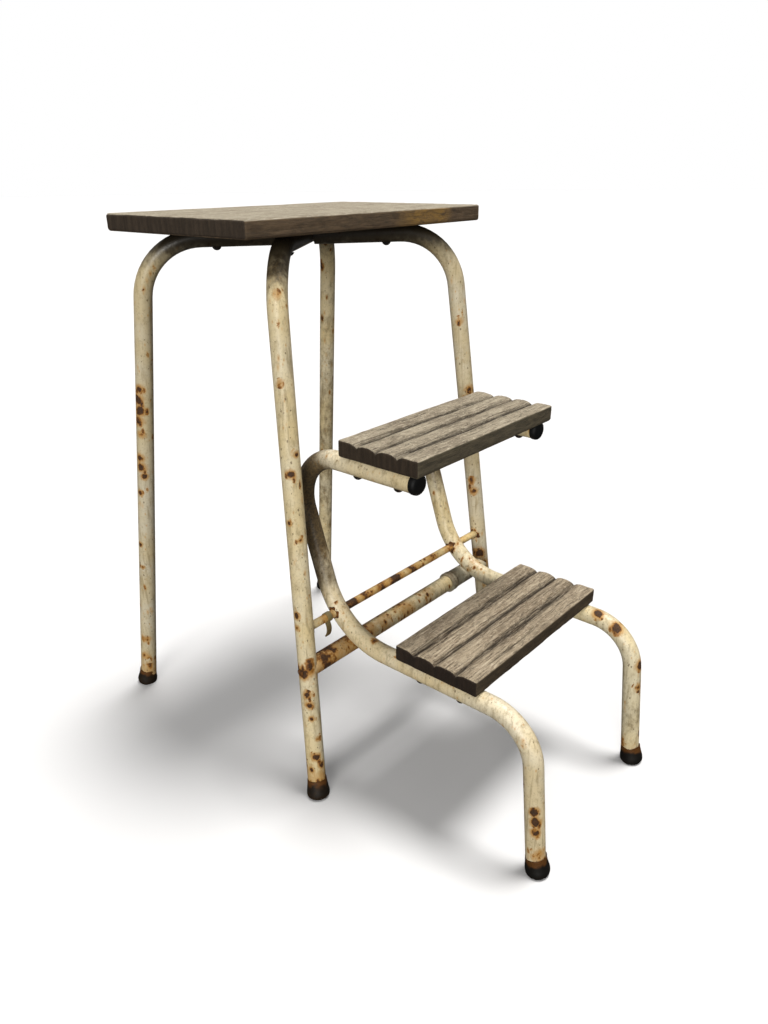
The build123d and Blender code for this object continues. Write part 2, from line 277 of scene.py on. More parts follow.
# ---- painted and rusted metal ----
def paint_material(name, stains, tint, offset, rust=0.1, dirt_and_shade=(), under_seat_dirt_and_shade=False):
    """Old cream enamel with rust spots in brown halos, dark specks, runs and grime.

    stains are (point, radius, strength) where rust gathers, and grime the same for dark patches that are
    partly soiling and partly painted shade.
    rust is how much of it there is elsewhere. tint is the clean paint. under_seat_dirt_and_shade blackens
    what is close under the seat, partly as soiling and partly as painted shade.
    """
    s = Shader(name)
    broad = s.noise(0.07, detail=3, offset=offset)
    patch = s.noise(0.009, detail=6, roughness=0.72, stretch=(1, 1, 0.7), offset=offset)
    fine = s.noise(0.0026, detail=5, roughness=0.7, offset=offset)
    runs = s.noise(0.0045, detail=5, roughness=0.6, stretch=(1, 1, 0.09), offset=offset)
    tone = s.noise(0.0022, detail=4, roughness=0.7, offset=offset)

    # how strongly rust gathers at a place
    field = s.mul(s.ramp(broad, 0.42, 0.75), rust)
    for point, radius, strength in stains:
        field = s.biggest(field, s.mul(s.near(point, radius), strength))
    ragged = s.add(field, s.mul(s.sub(patch, 0.5), 1.15))

    # paint
    warm = tuple(c - d for c, d in zip(tint, (6, 14, 30)))
    base = s.mix(s.ramp(broad, 0.3, 0.7), tint, warm)
    base = s.mix(s.ramp(patch, 0.48, 0.70, 0.0, 0.65), base, (168, 150, 112))
    base = s.mix(s.ramp(runs, 0.50, 0.70, 0.0, 0.55), base, (136, 118, 84))
    base = s.mix(s.ramp(fine, 0.52, 0.70, 0.0, 0.45), base, (126, 112, 84))
    base = s.mix(s.ramp(ragged, 0.22, 0.80, 0.0, 0.75), base, (174, 128, 62))

    # dark specks everywhere, then spots with halos, then solid rust where it gathers
    speck = s.spots(0.0036, s.add(s.mul(field, 0.6), 0.26), 0.22, stretch=(1, 1, 0.6), offset=offset)
    base = s.mix(s.ramp(speck, -0.03, 0.05, 0.0, 0.75), base, (92, 72, 44))
    many = s.add(field, 0.03)
    small = s.spots(0.0065, many, 0.34, stretch=(1, 1, 0.5), offset=offset)
    large = s.spots(0.013, s.mul(many, 0.7), 0.30, stretch=(1, 1, 0.45), offset=offset)
    solid = s.mul(s.sub(ragged, 0.86), 1.8)
    spot = s.biggest(small, large, solid)
    base = s.mix(s.ramp(spot, -0.24, 0.0, 0.0, 0.6), base, (190, 140, 68))
    base = s.mix(s.ramp(spot, -0.10, 0.03, 0.0, 0.9), base, (146, 96, 32))
    scab = s.mix(s.ramp(tone, 0.36, 0.60), (58, 35, 12), (138, 86, 26))
    scab = s.mix(s.ramp(spot, 0.06, 0.24, 0.0, 0.8), scab, (44, 27, 12))
    rust_amount = s.ramp(spot, 0.02, 0.14)
    base = s.mix(rust_amount, base, scab)

    # grime: dark patches that are partly soiling and partly painted shade, as in the C-bends and under the
    # seat
    for point, radius, strength in dirt_and_shade:
        dirt_and_shade_amount = s.add(s.mul(s.near(point, radius), strength), s.mul(s.sub(patch, 0.5), 0.9))
        dirt_and_shade_tone = s.mix(s.ramp(fine, 0.35, 0.65), (100, 80, 48), (56, 44, 26))
        base = s.mix(s.mul(s.ramp(dirt_and_shade_amount, 0.08, 0.8), 0.94), base, dirt_and_shade_tone)
    # nearly black just under the seat: partly soiling, partly painted shade
    if under_seat_dirt_and_shade:
        height = s.add(s.axis(2), s.mul(s.sub(patch, 0.5), 0.03))
        base = s.mix(s.ramp(height, *DIRT_AND_SHADE_HEIGHTS, 0.0, 0.97), base, (36, 28, 16))

    rough = s.add(s.ramp(fine, 0.3, 0.8, 0.34, 0.56), s.mul(rust_amount, 0.3))
    height = s.sub(s.mul(tone, s.mul(rust_amount, 0.9)), s.mul(s.ramp(spot, -0.1, 0.04), 0.5))
    normal = s.bump(height, 0.0006, 0.8)
    normal = s.bump(s.add(s.mul(fine, 0.5), patch), 0.0005, 0.5, under=normal)
    return s.finish(base, rough, normal, specular=0.45)


def rust_material(name):
    """Scabby brown rust."""
    s = Shader(name)
    tone = s.noise(0.0025, detail=5, roughness=0.7)
    grain = s.noise(0.0008, detail=3)
    base = s.mix(s.ramp(tone, 0.35, 0.68), (40, 23, 9), (122, 74, 24))
    base = s.mix(s.ramp(grain, 0.5, 0.8, 0.0, 0.5), base, (24, 14, 10))
    normal = s.bump(s.add(tone, s.mul(grain, 0.5)), 0.0006, 0.8)
    return s.finish(base, s.ramp(tone, 0.3, 0.7, 0.7, 0.95), normal, specular=0.3)


def screw_material(name):
    """Blackened screws with a little rust in the slot and on the rim."""
    s = Shader(name)
    tone = s.noise(0.002, detail=4)
    base = s.mix(s.ramp(tone, 0.52, 0.72), (24, 22, 22), (74, 46, 30))
    normal = s.bump(tone, 0.0003, 0.5)
    return s.finish(base, s.ramp(tone, 0.3, 0.7, 0.4, 0.75), normal)


def rubber_material(name, base_tone, worn, wear, offset=(0, 0, 0)):
    """Old rubber, scuffed and dusty, with brown staining."""
    s = Shader(name)
    dust = s.noise(0.012, detail=5, roughness=0.65, offset=offset)
    fine = s.noise(0.0012, detail=4, roughness=0.7, offset=offset)
    edge = s.attribute("wear")
    amount = s.mul(s.ramp(dust, 0.45, 0.75), wear)
    amount = s.mul(s.add(amount, s.mul(edge, 0.3)), s.ramp(fine, 0.25, 0.65, 0.4, 1.0))
    base = s.mix(s.math("MINIMUM", amount, 1.0), base_tone, worn)
    rim = s.attribute("rim")
    base = s.mix(s.mul(rim, s.ramp(fine, 0.2, 0.6, 0.5, 1.0)), base, (88, 54, 20))
    normal = s.bump(s.add(fine, s.mul(dust, 0.6)), 0.0004, 0.5)
    return s.finish(base, s.ramp(amount, 0.0, 0.8, 0.58, 0.88), normal, specular=0.22)


def hose_material(name, clean, stained, stain, offset):
    """Perished hose, dull and stained by rust."""
    s = Shader(name)
    cloud = s.noise(0.018, detail=5, roughness=0.62, offset=offset)
    streak = s.noise(0.005, detail=4, stretch=(0.15, 1, 1), offset=offset)
    fine = s.noise(0.0015, detail=4, roughness=0.7, offset=offset)
    base = s.mix(s.math("MINIMUM", s.mul(s.ramp(cloud, 0.35, 0.62), stain * 2), 1.0), clean, stained)
    base = s.mix(s.ramp(streak, 0.55, 0.8, 0.0, 0.7), base, (96, 60, 32))
    base = s.mix(s.ramp(fine, 0.6, 0.8, 0.0, 0.55), base, (52, 36, 26))
    normal = s.bump(s.add(fine, cloud), 0.0005, 0.5)
    return s.finish(base, s.ramp(cloud, 0.3, 0.7, 0.55, 0.8), normal, specular=0.4)


# ---- weathered wood ----
def scaled_tone(tone, share):
    """A colour times a share: darker below 1, lighter above it."""
    return tuple(min(255, c * share) for c in tone)


def lighter(tone, amount):
    return tuple(min(255, c + amount) for c in tone)


def wood_material(
    name, pale, mid, dark, shaded_side_tone, end_tone, warm_spots=(), fibres=0.8, offset=(0, 0, 0)
):
    """Dry grey-brown board. The grain runs along X. The mesh says where it is worn, where its cracks and
    seam are dark, and where its grooves and the faces that don't look up get painted shade.
    """
    s = Shader(name)
    grain = s.noise(0.0014, detail=6, roughness=0.68, stretch=(0.07, 1, 1), offset=offset)
    figure = s.noise(0.006, detail=6, roughness=0.7, stretch=(0.26, 1, 1), offset=offset, distortion=1.0)
    cloud = s.noise(0.03, detail=4, stretch=(0.5, 1, 1), offset=offset)
    lichen = s.noise(0.0036, detail=5, roughness=0.72, stretch=(0.7, 1, 1), offset=offset)
    speck = s.noise(0.0011, detail=3, roughness=0.7, stretch=(0.5, 1, 1), offset=offset)
    dark_cracks_and_shade = s.attribute("dark_cracks_and_shade")
    worn = s.attribute("worn")
    side = s.attribute("side")
    end = s.attribute("end")

    fibre = s.noise(0.0017, detail=6, roughness=0.76, stretch=(0.085, 1, 1), offset=offset, distortion=0.5)
    base = s.mix(s.ramp(figure, 0.34, 0.66), mid, pale)
    halfway = tuple(0.5 * (a + b) for a, b in zip(mid, dark))
    base = s.mix(s.ramp(cloud, 0.46, 0.66, 0.0, 0.6), base, halfway)
    base = s.mix(s.ramp(lichen, 0.50, 0.66, 0.0, 0.75), base, lighter(pale, 22))
    base = s.mix(s.ramp(grain, 0.50, 0.70, 0.0, 0.75), base, dark)
    base = s.mix(s.ramp(speck, 0.56, 0.74, 0.0, 0.6), base, scaled_tone(dark, 0.8))
    fissure = s.mul(s.ramp(fibre, 0.545, 0.585), s.ramp(lichen, 0.60, 0.46))
    base = s.mix(s.mul(fissure, fibres), base, scaled_tone(dark, 0.55))
    base = s.mix(s.mul(s.ramp(fibre, 0.44, 0.38), fibres * 0.7), base, lighter(pale, 34))
    base = s.mix(s.mul(worn, 0.35), base, lighter(pale, 10))

    # faces that don't look up get a darker tone of their own: painted shade
    shaded_side_base = s.mix(s.ramp(figure, 0.34, 0.66), scaled_tone(shaded_side_tone, 0.84), scaled_tone(shaded_side_tone, 1.12))
    shaded_side_base = s.mix(s.ramp(grain, 0.48, 0.70, 0.0, 0.7), shaded_side_base, scaled_tone(shaded_side_tone, 0.55))
    shaded_side_base = s.mix(s.ramp(lichen, 0.58, 0.76, 0.0, 0.4), shaded_side_base, scaled_tone(shaded_side_tone, 1.4))
    for point, radius in warm_spots:
        ragged = s.mul(s.near(point, radius), s.ramp(figure, 0.3, 0.6))
        shaded_side_base = s.mix(s.mul(ragged, 0.85), shaded_side_base, (150, 116, 60))
    base = s.mix(side, base, shaded_side_base)

    # end grain: dark, with faint upright rays
    rays = s.noise(0.005, detail=4, roughness=0.6, stretch=(1, 1, 0.16), offset=offset)
    end_base = s.mix(s.ramp(rays, 0.34, 0.7), end_tone, lighter(scaled_tone(end_tone, 1.22), 4))
    end_base = s.mix(s.ramp(lichen, 0.52, 0.75, 0.0, 0.5), end_base, scaled_tone(end_tone, 0.66))
    base = s.mix(end, base, end_base)
    # dark cracks and seam, and painted shade along the grooves
    base = s.mix(s.mul(dark_cracks_and_shade, 0.85), base, scaled_tone(dark, 0.42))

    height = s.add(s.mul(grain, -0.8), s.mul(lichen, 0.5))
    height = s.add(height, s.mul(s.ramp(fibre, 0.5, 0.62), -0.8))
    height = s.add(height, s.mul(speck, -0.4))
    normal = s.bump(height, 0.0008, 0.6)
    rough = s.ramp(figure, 0.3, 0.7, 0.72, 0.9)
    return s.finish(base, rough, normal, specular=0.25)


# ---- how a board is made ----
BOARD_EDGE_RADIUS = 0.0032
# Mesh spacing along x, y and z, and the closer spacing within BOARD_EDGE of an edge.
BOARD_STEPS = (0.0028, 0.00055, 0.0011)
BOARD_EDGE, BOARD_EDGE_STEP = 0.003, 0.0005
# A glued side is made this much too wide and then cut flat, so that it has no rounded edge.
GLUED_EXTRA = 0.0019
# From the bottom of a groove to where its curve ends.
GROOVE_REACH = 0.0128


def graded(low, high, step):
    """Positions from low to high, closer together near either end."""
    ends = np.arange(0, BOARD_EDGE, BOARD_EDGE_STEP)
    count = max(2, int((high - low - 2 * BOARD_EDGE) / step))
    middle = np.linspace(low + BOARD_EDGE, high - BOARD_EDGE, count)
    return np.concatenate([low + ends, middle, (high - ends)[::-1]])


def box_grid(xs, ys, zs):
    """Vertices and faces of a closed box surface on the given grid lines."""
    index, verts, faces = {}, [], []

    def vert(i, j, k):
        key = (i, j, k)
        if key not in index:
            index[key] = len(verts)
            verts.append((xs[i], ys[j], zs[k]))
        return index[key]

    nx, ny, nz = len(xs) - 1, len(ys) - 1, len(zs) - 1
    for i in range(nx):
        for j in range(ny):
            for k, flip in ((0, True), (nz, False)):
                quad = [vert(i, j, k), vert(i + 1, j, k), vert(i + 1, j + 1, k), vert(i, j + 1, k)]
                faces.append(quad[::-1] if flip else quad)
    for i in range(nx):
        for k in range(nz):
            for j, flip in ((0, False), (ny, True)):
                quad = [vert(i, j, k), vert(i + 1, j, k), vert(i + 1, j, k + 1), vert(i, j, k + 1)]
                faces.append(quad[::-1] if flip else quad)
    for j in range(ny):
        for k in range(nz):
            for i, flip in ((0, True), (nx, False)):
                quad = [vert(i, j, k), vert(i, j + 1, k), vert(i, j + 1, k + 1), vert(i, j, k + 1)]
                faces.append(quad[::-1] if flip else quad)
    return np.array(verts), faces


def rounded(verts, low, high, radius):
    """Box vertices moved onto a box with rounded edges. Returns them and their normals."""
    inner = np.clip(verts, low + radius, high - radius)
    away = verts - inner
    length = np.linalg.norm(away, axis=1, keepdims=True)
    normals = away / np.maximum(length, 1e-9)
    return inner + normals * np.minimum(length, radius), normals


def cracks(count, low, high, seed, lines=None):
    """Seeded cracks along the grain: (y, x start, x end, width, depth, wander seed).

    Most of them lie near the given lines, where there are any.
    """
    rng = np.random.default_rng(seed)
    made = []
    for number in range(count):
        y = rng.uniform(low[1] + 0.003, high[1] - 0.003)
        if lines is not None and rng.random() < 0.7:
            y = rng.choice(lines) + rng.normal(0, 0.0032)
        length = rng.uniform(0.03, 0.16)
        start = rng.uniform(low[0] - 0.03, high[0] - length + 0.03)
        width, depth = rng.uniform(0.00028, 0.0006), rng.uniform(0.0007, 0.0019)
        made.append((y, start, start + length, width, depth, seed + number))
    return made


def crack_depth(points, crack_list):
    """How deep the cracks are at each point of the top, in metres."""
    total = np.zeros(len(points))
    x, y = points[:, 0], points[:, 1]
    for line_y, start, end, width, depth, seed in crack_list:
        inside = (x > start) & (x < end) & (np.abs(y - line_y) < 0.012)
        if not inside.any():
            continue
        at = np.column_stack([x[inside], np.full(inside.sum(), line_y), np.zeros(inside.sum())])
        wander = 0.0016 * noise(at, 0.03, seed) + 0.0005 * noise(at, 0.006, seed + 7)
        along = (x[inside] - start) / (end - start)
        taper = np.clip(np.minimum(along, 1 - along) * 5, 0, 1)
        offset = (y[inside] - line_y - wander) / (width * (0.35 + 0.65 * taper))
        total[inside] = np.maximum(total[inside], depth * taper * np.exp(-(offset**2)))
    return total


def weathered_board(name, node, crack_list, relief, groove_lines=(), groove_depth=0.0, seam=0, seed=1):
    """A board with rounded worn edges, raised grain and cracks, in the place of a CAD node.

    groove_lines are the y of grooves along the top. seam is +1 or -1 where the +Y or -Y side is
    glued to another board, and 0 where both sides are free.
    """
    low, high = (np.array(v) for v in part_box(node))
    shape_low, shape_high = low.copy(), high.copy()
    if seam > 0:
        shape_high[1] += GLUED_EXTRA
    if seam < 0:
        shape_low[1] -= GLUED_EXTRA
    grid = [graded(shape_low[axis], shape_high[axis], step) for axis, step in enumerate(BOARD_STEPS)]
    verts, faces = box_grid(*grid)
    verts, normals = rounded(verts, shape_low, shape_high, BOARD_EDGE_RADIUS)
    if seam > 0:
        verts[:, 1] = np.minimum(verts[:, 1], high[1])
    if seam < 0:
        verts[:, 1] = np.maximum(verts[:, 1], low[1])

    thickness = high[2] - low[2]
    rise = np.clip((verts[:, 2] - low[2]) / thickness, 0, 1)
    facing_top = smooth_step(normals[:, 2], 0.3, 0.9)
    end = smooth_step(np.abs(normals[:, 0]), 0.55, 0.8)
    side = smooth_step(np.abs(normals[:, 1]), 0.6, 0.9)
    p = verts.copy()

    # grooves lower the whole column of points below them, so the ends show the same outline
    groove_shade = np.zeros(len(p))
    drop = np.zeros(len(p))
    for number, line in enumerate(groove_lines):
        along = np.column_stack([p[:, 0], np.full(len(p), line), np.zeros(len(p))])
        wander = 0.0011 * noise(along, 0.05, seed + 20 + number) + 0.0004 * noise(along, 0.012, seed + 30)
        away = np.abs(p[:, 1] - line - wander)
        here = groove_depth * (1 + 0.18 * noise(along, 0.035, seed + 40 + number))
        shape = 1 - np.sqrt(1 - np.clip(1 - away / GROOVE_REACH, 0, 0.985) ** 2)
        drop = np.maximum(drop, here * shape)
        patchy = smooth_step(noise(along, 0.014, seed + 50 + number), -0.6, 0.5)
        # a dark line along each groove and a softer band on its flanks: painted shade
        groove_shade_line = patchy * np.exp(-((away / 0.0017) ** 2)) + 0.44 * np.exp(-((away / 0.0052) ** 2))
        groove_shade = np.maximum(groove_shade, groove_shade_line)
    p[:, 2] -= drop * rise

    # raised grain, hollows and cracks on the top
    fibre = octaves(p, (0.045, 0.0024, 0.02), seed, 3)
    hollow = octaves(p, (0.06, 0.016, 0.05), seed + 5, 2)
    depth = crack_depth(p, crack_list) * facing_top
    top_drop = relief * (0.55 - 0.45 * fibre) + relief * 0.9 * np.maximum(hollow, 0)
    p[:, 2] -= (top_drop * facing_top) + depth

    # sides and ends: saw marks and softened, bitten edges
    end_relief = 0.00028 * octaves(p, (0.02, 0.0022, 0.012), seed + 9, 3)
    p[:, 0] -= np.sign(normals[:, 0]) * end * (0.0003 + end_relief)
    free = np.ones(len(p))
    seam_y = high[1] if seam > 0 else low[1]
    if seam:
        free = 1 - smooth_step(seam * (p[:, 1] - seam_y), -0.004, -0.001)
    side_relief = 0.0003 * octaves(p, (0.05, 0.02, 0.0022), seed + 13, 3)
    p[:, 1] -= np.sign(normals[:, 1]) * side * free * (0.0003 + side_relief)
    edge = 1 - np.max(np.abs(normals), axis=1)
    bite = np.clip(octaves(p, 0.018, seed + 17, 3) + 0.15, 0, 1) * smooth_step(edge, 0.02, 0.2) * free
    p -= normals * (bite * 0.0013)[:, None]

    obj = make_object(name, p, faces, frame["nodes"][node]["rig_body"])
    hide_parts(node)
    # dark cracks and seam, with painted shade along the grooves
    dark_cracks_and_shade = np.clip(depth / 0.0014, 0, 1) ** 1.5
    dark_cracks_and_shade = dark_cracks_and_shade + 0.78 * groove_shade * smooth_step(normals[:, 2], 0.0, 0.6)
    if seam:
        dark_cracks_and_shade = dark_cracks_and_shade + 0.8 * np.exp(-(((p[:, 1] - seam_y) / 0.0006) ** 2)) * (1 - end * 0.3)
    store(obj, "dark_cracks_and_shade", np.clip(dark_cracks_and_shade, 0, 1))
    ridge = np.clip(0.5 + 0.5 * fibre, 0, 1) * (1 - np.clip(drop / 0.003, 0, 1)) * facing_top
    store(obj, "worn", np.clip(ridge + bite * 0.6, 0, 1))
    # side marks the faces that don't look up, which the material paints darker as shade
    store(obj, "side", 1 - smooth_step(normals[:, 2], 0.25, 0.75))
    store(obj, "end", end)
    return obj


# ---- turned pieces ----
def lathe(profile):
    """Vertices and faces of a closed solid of revolution about +Z from (radius, height) points."""
    segments = 72
    verts, faces, rings = [], [], []
    for radius, height in profile:
        if radius < 1e-7:
            rings.append([len(verts)])
            verts.append((0, 0, height))
            continue
        rings.append(list(range(len(verts), len(verts) + segments)))
        for k in range(segments):
            angle = 2 * math.pi * k / segments
            verts.append((radius * math.cos(angle), radius * math.sin(angle), height))
    for a, b in zip(rings, rings[1:]):
        for k in range(segments):
            j = (k + 1) % segments
            if len(a) == 1:
                faces.append([a[0], b[j], b[k]])
            elif len(b) == 1:
                faces.append([a[k], a[j], b[0]])
            else:
                faces.append([a[k], a[j], b[j], b[k]])
    return np.array(verts), faces


def finely(profile, step=0.0008):
    """The same outline with points no further apart than step."""
    points = []
    for (r0, h0), (r1, h1) in zip(profile, profile[1:]):
        count = max(1, int(math.hypot(r1 - r0, h1 - h0) / step))
        points += [(r0 + (r1 - r0) * i / count, h0 + (h1 - h0) * i / count) for i in range(count)]
    return points + [profile[-1]]


def rounded_outline(profile, radius=0.0012):
    """The same outline with each inner corner cut back and softened."""
    points = [profile[0]]
    for before, corner, after in zip(profile, profile[1:], profile[2:]):
        a = Vector(before) - Vector(corner)
        b = Vector(after) - Vector(corner)
        reach = min(radius, a.length * 0.45, b.length * 0.45)
        start, end = Vector(corner) + a.normalized() * reach, Vector(corner) + b.normalized() * reach
        for i in range(5):
            t = i / 4
            point = start * (1 - t) ** 2 + Vector(corner) * 2 * t * (1 - t) + end * t**2
            points.append((point.x, point.y))
    return points + [profile[-1]]


def outward_xy(verts):
    """Each vertex's level direction away from the axis."""
    return verts[:, :2] / np.maximum(np.linalg.norm(verts[:, :2], axis=1, keepdims=True), 1e-6)


def placed(verts, origin, direction):
    """Vertices made about +Z moved so that +Z runs along direction from origin."""
    turn = np.array(Vector(direction).normalized().to_track_quat("Z", "Y").to_matrix())
    return verts @ turn.T + np.array(origin)


def cap_axis(node):
    """Where a foot cap meets the floor, and the direction of its leg."""
    co = np.array([v.co for v in frame["nodes"][node].data.vertices])
    top = co[co[:, 2] > co[:, 2].max() - 0.0034].mean(0)
    floor = co[co[:, 2] < 0.0004].mean(0)
    return Vector(floor), Vector(top - floor)


def foot_cap(node, seed, material):
    """A rubber foot shaped like a bell, with a thick worn base and a ragged lip round the tube."""
    floor, direction = cap_axis(node)
    outline = [
        (0, -0.0018), (0.0108, -0.0018), (0.0134, 0.0005), (0.0140, 0.0034), (0.0139, 0.0066),
        (0.0133, 0.0100), (0.0126, 0.0145), (0.0121, 0.0190), (0.0120, 0.0218), (0.0116, 0.0229),
        (0.01108, 0.0226), (0.01108, 0.0080), (0, 0.0080),
    ]
    verts, faces = lathe(finely(rounded_outline(outline)))
    height = verts[:, 2].copy()
    around = verts.copy()
    outer = np.linalg.norm(verts[:, :2], axis=1) > 0.0118
    wobble = 0.00035 * octaves(around + seed, 0.009, seed, 3)
    wobble = wobble + 0.0003 * noise(around + seed, 0.02, seed + 3)
    nick = np.clip(octaves(around + seed, 0.005, seed + 5, 2) - 0.18, 0, 1)
    nick = nick * smooth_step(-height, -0.009, -0.001)
    push = np.where(outer, wobble - 0.0022 * nick - 0.0002, 0)
    verts[:, :2] += outward_xy(verts) * push[:, None]
    lip = smooth_step(height, 0.0195, 0.0225) * (np.linalg.norm(verts[:, :2], axis=1) > 0.0112)
    verts[:, 2] += lip * 0.0016 * noise(around + seed, 0.008, seed + 9)
    moved = placed(verts, floor, direction)
    moved[:, 2] = np.maximum(moved[:, 2], 0)
    obj = make_object(node + "_rubber", moved, faces, frame["nodes"][node]["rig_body"])
    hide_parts(node)
    wear = smooth_step(-height, -0.007, 0.0) + nick
    mottle = octaves(around + seed, 0.006, seed + 11, 2)
    store(obj, "wear", np.clip(wear * (0.6 + 0.8 * mottle), 0, 1))
    store(obj, "rim", np.clip(smooth_step(height + 0.006 * mottle, 0.0140, 0.0205), 0, 1))
    obj.data.materials.append(material)


END_CAP_RADIUS = 0.0120


def end_cap(node, seed, material):
    """The domed cap on the upper front end of a step tube, squeezed flat under the tread."""
    low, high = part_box(node)
    outline = [
        (0, -0.0004), (0.0070, -0.0001), (0.0102, 0.0010), (0.0118, 0.0032), (0.0120, 0.0055),
        (0.0119, 0.0076), (0.0116, 0.0085), (0.01106, 0.0084), (0.01106, 0.0042), (0, 0.0042),
    ]
    verts, faces = lathe(finely(rounded_outline(outline)))
    around = verts.copy()
    outer = np.linalg.norm(verts[:, :2], axis=1) > 0.0112
    push = np.where(outer, 0.00025 * octaves(around + seed, 0.008, seed, 3) - 0.0001, 0)
    verts[:, :2] += outward_xy(verts) * push[:, None]
    tube_z = low.z + END_CAP_RADIUS
    centre = Vector(((low.x + high.x) / 2, low.y + 0.0004, tube_z))
    moved = placed(verts, centre, (0, 1, 0))
    moved[:, 2] = np.minimum(moved[:, 2], tube_z + TUBE_RADIUS - 0.0001)
    obj = make_object(node + "_rubber", moved, faces, STEPS)
    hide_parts(node)
    store(obj, "wear", np.clip(octaves(around + seed, 0.006, seed + 2, 3) * 0.5, 0, 1))
    store(obj, "rim", np.zeros(len(moved)))
    obj.data.materials.append(material)


def sleeve(node, seed, material):
    """A perished hose sleeve on the crossbar, with two rings near its inner end."""
    low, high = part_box(node)
    length = high.x - low.x
    bore, skin = 0.01107, 0.0126
    outline = [
        (bore, 0.0), (0.0124, 0.0), (0.0137, 0.0010), (0.0141, 0.0026), (0.0138, 0.0042), (0.0127, 0.0054),
        (0.0124, 0.0068), (0.0131, 0.0080), (0.0139, 0.0090), (0.0139, 0.0104), (0.0129, 0.0116),
        (skin, 0.0132), (skin, length * 0.55), (skin, length - 0.002),
        (0.0121, length), (bore, length), (bore, length * 0.5), (bore, 0.0),
    ]
    verts, faces = lathe(finely(rounded_outline(outline, 0.0009), 0.0011))
    around = verts.copy()
    outer = np.linalg.norm(verts[:, :2], axis=1) > 0.0116
    dent = 0.00045 * octaves(around + seed, (0.012, 0.012, 0.03), seed, 3)
    pucker = 0.0002 * octaves(around + seed, (0.004, 0.004, 0.006), seed + 4, 2)
    verts[:, :2] += outward_xy(verts) * np.where(outer, dent + pucker - 0.0002, 0)[:, None]
    centre = (low + high) / 2
    start = Vector((low.x, centre.y, centre.z))
    obj = make_object(node + "_hose", placed(verts, start, (1, 0, 0)), faces, STOOL)
    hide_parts(node)
    obj.data.materials.append(material)


def rust_collar(name, surface, origin, inner, outer, height, body, material, seed):
    """A scabby ring of rust on a tube, round origin.

    surface gives the x of the tube's skin for a (y, z) offset from origin.
    """
    rings, segments = 9, 56
    verts, faces = [], []
    for i in range(rings + 1):
        t = i / rings
        for k in range(segments):
            angle = 2 * math.pi * k / segments
            rim = outer * (1 + 0.22 * math.sin(3 * angle + seed) + 0.12 * math.sin(7 * angle + 2 * seed))
            r = inner + (rim - inner) * t
            y, z = r * math.cos(angle), r * math.sin(angle)
            verts.append((t, y, z))
    verts = np.array(verts)
    skin = np.array([surface(y, z) for _, y, z in verts])
    t = verts[:, 0]
    flat = np.column_stack([t * 0, verts[:, 1], verts[:, 2]])
    lump = 0.65 + 0.6 * octaves(flat + seed, 0.003, seed, 2)
    thick = height * np.clip(lump, 0.2, 1.3) * np.clip((1 - t) * 1.6, 0, 1)
    thick = thick - 0.0002 * smooth_step(t, 0.85, 1.0)
    outward = np.sign(skin)
    points = np.column_stack([skin + outward * thick, verts[:, 1], verts[:, 2]]) + np.array(origin)
    for i in range(rings):
        for k in range(segments):
            j = (k + 1) % segments
            quad = [i * segments + k, i * segments + j, (i + 1) * segments + j, (i + 1) * segments + k]
            faces.append(quad if outward[0] > 0 else quad[::-1])
    # a hidden skirt back into the tube closes the ring
    count = len(points)
    back = points.copy()
    back[:, 0] = (skin - outward * 0.0006) + origin[0]
    all_points = np.vstack([points, back])
    for i in range(rings):
        for k in range(segments):
            j = (k + 1) % segments
            quad = [count + i * segments + k, count + (i + 1) * segments + k]
            quad += [count + (i + 1) * segments + j, count + i * segments + j]
            faces.append(quad if outward[0] > 0 else quad[::-1])
    for ring, turned in ((0, True), (rings, False)):
        for k in range(segments):
            j = (k + 1) % segments
            a, b = ring * segments + k, ring * segments + j
            quad = [a, b, count + b, count + a]
            if turned:
                quad = quad[::-1]
            faces.append(quad[::-1] if outward[0] > 0 else quad)
    obj = make_object(name, all_points, faces, body)
    obj.data.materials.append(material)


# ---- places on the frame ----
LEFT, RIGHT = -1, 1
# A height above the crossbar and below the bends of the legs.
ABOVE_CROSSBAR = 0.35
# How far a ring of points round a leaning tube reaches above its lowest one, and a little over.
RING_RISE = 0.0045
STEP_X = (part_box("step_tube_right")[0].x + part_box("step_tube_right")[1].x) / 2
CROSSBAR_LOW, CROSSBAR_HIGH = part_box("crossbar")
CROSSBAR_Y = (CROSSBAR_LOW.y + CROSSBAR_HIGH.y) / 2
CROSSBAR_Z = (CROSSBAR_LOW.z + CROSSBAR_HIGH.z) / 2


def leg_at(side, front, height):
    """A point on a leg's centre line, from the tube's lower end and the start of its bend."""
    hoop = "leg_hoop_over" if (side > 0) == front else "leg_hoop_under"
    co = np.array([v.co for v in frame["nodes"][hoop].data.vertices])
    co = co[co[:, 0] * side > 0]
    ends = []
    for part in (co, co[co[:, 2] > ABOVE_CROSSBAR]):
        ends.append(Vector(part[part[:, 2] < part[:, 2].min() + RING_RISE].mean(0)))
    foot, bend = ends
    return foot + (bend - foot) * ((height - foot.z) / (bend.z - foot.z))


def tube_skin_x(direction_yz, side):
    """The skin of a tube that runs along (y, z), seen along X: its x for a (y, z) offset."""
    dy, dz = direction_yz

    def surface(y, z):
        across = y * dz - z * dy
        return side * math.sqrt(max(TUBE_RADIUS**2 - across**2, 0))

    return surface


def on_bar(x):
    """A point on the crossbar's centre line."""
    return Vector((x, CROSSBAR_Y, CROSSBAR_Z))


def on_skin(point, facing):
    """A point on the skin of an upright tube. facing is in degrees: 0 is the front, 90 the right."""
    angle = math.radians(facing)
    return point + Vector((math.sin(angle), -math.cos(angle), 0)) * TUBE_RADIUS


